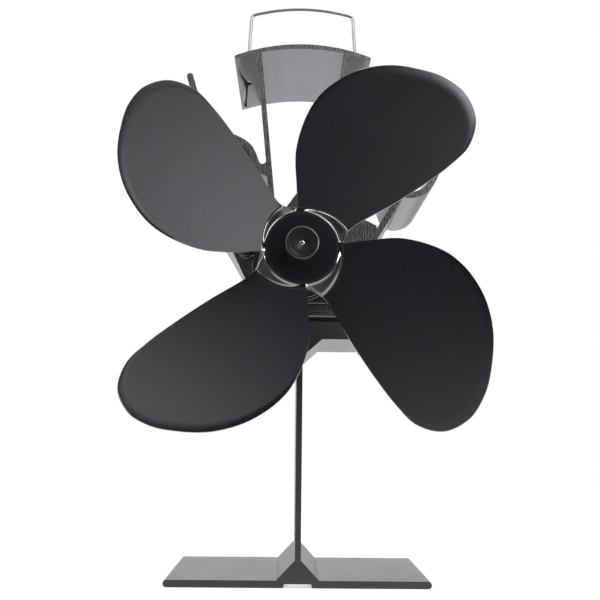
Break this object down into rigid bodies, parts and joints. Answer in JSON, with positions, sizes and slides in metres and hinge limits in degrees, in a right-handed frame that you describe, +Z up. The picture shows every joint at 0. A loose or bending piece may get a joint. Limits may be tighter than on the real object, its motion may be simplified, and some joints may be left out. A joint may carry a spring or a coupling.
{
  "type": "stove fan",
  "caption": "Heat-driven stove fan: slim aluminium foot, finned heat sink with a wire handle, and a broad-bladed impeller turned by a small thermoelectric motor.",
  "frame": {"origin": "on the surface it stands on, under the middle of its bounding box", "axes": "+Z up, the impeller faces -Y, +X to the right as seen from the front"},
  "size_m": [0.1378, 0.1136, 0.263],
  "materials": {
    "extrusion": "dark anodised, sawn end faces",
    "blade_paint": "fine-textured matt black",
    "cap_black": "satin black",
    "stainless": "bright drawn",
    "zinc_steel": "zinc plated",
    "black_oxide": "black-oxide steel",
    "bimetal": "rolled",
    "brass": "turned",
    "copper": "bare and enamelled copper",
    "lamination": "stacked steel sheet",
    "ferrite": "sintered magnet",
    "ceramic": "fired alumina",
    "graphite": "pressed graphite sheet",
    "sealant": "cured silicone",
    "plastic": "moulded",
    "red_wire": "silicone insulation",
    "black_wire": "silicone insulation"
  },
  "bodies": {
    "stand": {"base_extrusion": "extrusion", "heat_sink": "extrusion", "hot_pad": "graphite", "module_hot_plate": "ceramic", "module_seal": "sealant", "module_legs": "copper", "module_cold_plate": "ceramic", "cold_pad": "graphite", "clamp_screw_right": "zinc_steel", "clamp_screw_left": "zinc_steel", "spring_washer_right": "zinc_steel", "spring_washer_left": "zinc_steel", "insulating_bush_right": "plastic", "insulating_bush_left": "plastic", "motor_can": "zinc_steel", "motor_end_cap": "plastic", "front_bush": "brass", "rear_bush": "brass", "magnet_right": "ferrite", "magnet_left": "ferrite", "brush_right": "copper", "brush_left": "copper", "motor_bezel": "extrusion", "bezel_screw_right": "black_oxide", "bezel_screw_left": "black_oxide", "bimetal_rivet": "stainless", "red_lead": "red_wire", "black_lead": "black_wire", "lead_sleeve_right": "sealant", "lead_sleeve_left": "sealant"},
    "fan_wheel": {"impeller": "blade_paint", "hub_bush": "brass", "hub_cap": "cap_black", "motor_shaft": "stainless", "armature_core": "lamination", "commutator": "copper", "winding_1": "copper", "winding_2": "copper", "winding_3": "copper"},
    "bail": {"handle": "stainless"},
    "strip": {"bimetal_strip": "bimetal"}
  },
  "joints": [
    {"name": "impeller_spin", "type": "hinge", "parent": "stand", "child": "fan_wheel", "pos_m": [0, -0.0447, 0.1292], "axis": [0, 1, 0], "continuous": true},
    {"name": "handle_slide", "type": "slide", "parent": "stand", "child": "bail", "axis": [0, 0, 1], "range_m": [-0.024, 0.0085]},
    {"name": "bimetal_flex", "type": "hinge", "parent": "stand", "child": "strip", "pos_m": [0, 0.0438, 0.001], "axis": [1, 0, 0], "range_deg": [0, 0.8], "stiffness_Nm_per_rad": 0.9}
  ]
}
